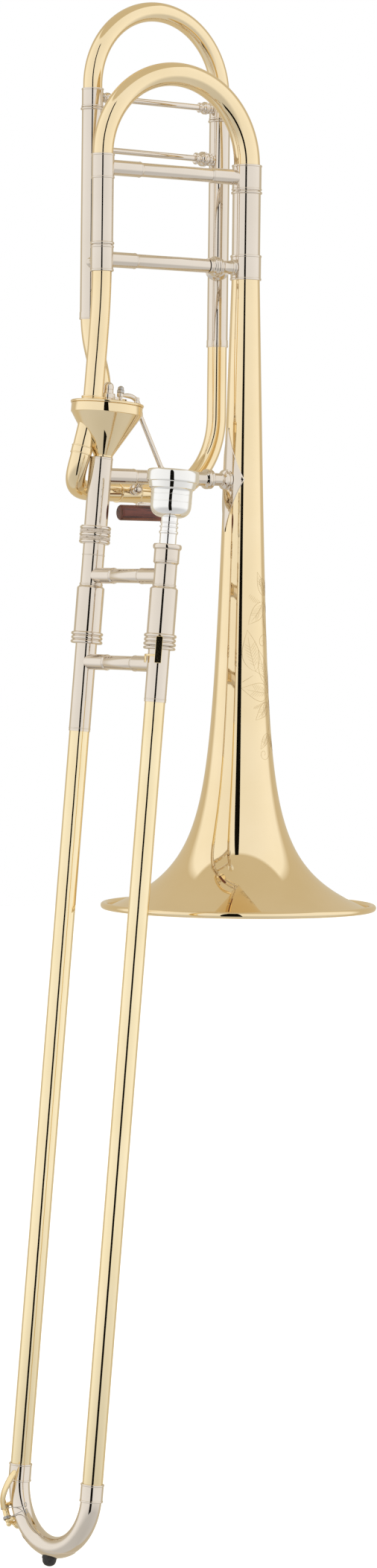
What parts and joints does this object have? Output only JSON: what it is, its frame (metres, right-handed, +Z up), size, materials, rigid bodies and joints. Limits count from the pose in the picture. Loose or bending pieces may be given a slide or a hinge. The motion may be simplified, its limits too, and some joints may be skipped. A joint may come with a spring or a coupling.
{
  "type": "tenor trombone",
  "caption": "Tenor trombone with a cone valve F attachment: flared bell, tuning slides, long hand slide, mouthpiece and thumb lever.",
  "frame": {"origin": "centre of the bell mouth, level with the lowest line of its rolled rim", "axes": "+Z up the bell axis away from the mouth, +X from the hand slide to the bell, -Y the mouthpiece side"},
  "size_m": [0.3164, 0.2171, 1.1961],
  "materials": {
    "yellow_brass": "polished and clear lacquered",
    "lacquered_brass": "polished, for small cast pieces",
    "nickel_silver": "polished, slightly warm",
    "silver_plate": "bright plate",
    "chrome_plate": "hard plate",
    "steel": "bright",
    "rotor_alloy": "satin, sealed inside the valve",
    "rubber": "soft black",
    "cork": "natural cork",
    "rosewood": "oiled, dark red brown"
  },
  "bodies": {
    "bell_section": {"bell_flare": "yellow_brass", "rim_wire": "steel", "bell_bowl": "yellow_brass", "bell_throat": "yellow_brass", "bell_stem": "yellow_brass", "bell_flange": "nickel_silver", "bell_ferrule": "nickel_silver", "bell_leg": "nickel_silver", "bell_brace": "nickel_silver", "receiver_brace": "nickel_silver", "neckpipe": "yellow_brass", "neck_ferrule": "nickel_silver", "neck_inner_leg": "nickel_silver", "valve_casing": "yellow_brass", "valve_lid": "yellow_brass", "valve_stops": "nickel_silver", "f_outlet_tube": "yellow_brass", "f_outer_legs": "nickel_silver", "f_leg_brace": "nickel_silver", "f_bend": "yellow_brass", "f_joint_ferrules": "yellow_brass", "f_return_elbow": "yellow_brass", "f_port_tube": "yellow_brass", "f_post": "nickel_silver", "slide_receiver": "nickel_silver", "slide_tenon": "nickel_silver", "inner_tubes": "nickel_silver", "stockings": "chrome_plate", "cork_barrels": "nickel_silver", "barrel_corks": "cork", "inner_brace": "nickel_silver", "mouthpiece_receiver": "nickel_silver", "leadpipe": "yellow_brass"},
    "lock_nut": {"lock_nut": "nickel_silver"},
    "slide_lock": {"slide_lock": "lacquered_brass"},
    "mouthpiece": {"mouthpiece": "silver_plate"},
    "valve_rotor": {"valve_rotor": "rotor_alloy", "rotor_spindle": "nickel_silver", "rotor_arm": "nickel_silver"},
    "thumb_lever": {"lever_frame": "nickel_silver", "lever_link": "nickel_silver", "link_nut": "steel", "thumb_grip": "rosewood"},
    "tuning_slide": {"tuning_crook": "yellow_brass", "tuning_ferrules": "nickel_silver", "tuning_outer_leg": "nickel_silver", "tuning_inner_leg": "nickel_silver", "tuning_brace": "nickel_silver"},
    "f_tuning_slide": {"f_crook": "yellow_brass", "f_crook_ferrules": "nickel_silver", "f_inner_legs": "nickel_silver", "f_slide_brace": "nickel_silver"},
    "outer_slide": {"outer_tubes": "yellow_brass", "outer_sleeves": "nickel_silver", "outer_brace": "nickel_silver", "slide_crook": "nickel_silver", "crook_guard": "nickel_silver", "bumper": "rubber", "key_saddle": "lacquered_brass"},
    "water_key": {"water_key": "lacquered_brass"}
  },
  "joints": [
    {"name": "hand_slide", "type": "slide", "parent": "bell_section", "child": "outer_slide", "axis": [-0.0805, 0, -0.9968], "range_m": [0, 0.59]},
    {"name": "tuning_slide_pull", "type": "slide", "parent": "bell_section", "child": "tuning_slide", "axis": [0, 0, 1], "range_m": [0, 0.04]},
    {"name": "f_tuning_slide_pull", "type": "slide", "parent": "bell_section", "child": "f_tuning_slide", "axis": [0, 0, 1], "range_m": [0, 0.055]},
    {"name": "thumb_lever_swing", "type": "hinge", "parent": "bell_section", "child": "thumb_lever", "pos_m": [-0.074, 0, 0.336], "axis": [1, 0, 0], "range_deg": [0, 12.5], "stiffness_Nm_per_rad": 0.2, "springref_deg": -14.32},
    {"name": "valve_turn", "type": "hinge", "parent": "bell_section", "child": "valve_rotor", "pos_m": [-0.12775, 0, 0.34985], "axis": [0.0805, 0, 0.9968], "range_deg": [-46.7, 0]},
    {"name": "water_key_press", "type": "hinge", "parent": "outer_slide", "child": "water_key", "pos_m": [-0.20201, 0.00298, -0.45619], "axis": [0.0116, 0.4966, 0.8679], "range_deg": [0, 10], "stiffness_Nm_per_rad": 0.05, "springref_deg": -22.92},
    {"name": "slide_lock_turn", "type": "hinge", "parent": "bell_section", "child": "slide_lock", "pos_m": [-0.13031, -0.08939, 0.20639], "axis": [0.0805, 0, 0.9968], "range_deg": [0, 40]},
    {"name": "lock_nut_turn", "type": "hinge", "parent": "bell_section", "child": "lock_nut", "pos_m": [-0.13405, 0, 0.29046], "axis": [0.0805, 0, 0.9968], "continuous": true},
    {"name": "mouthpiece_lift", "type": "slide", "parent": "bell_section", "child": "mouthpiece", "axis": [0.0805, 0, 0.9968], "range_m": [0, 0.06]}
  ],
  "couplings": [
    {"joint": "valve_turn", "follows": "thumb_lever_swing", "ratio": -3.7118}
  ]
}
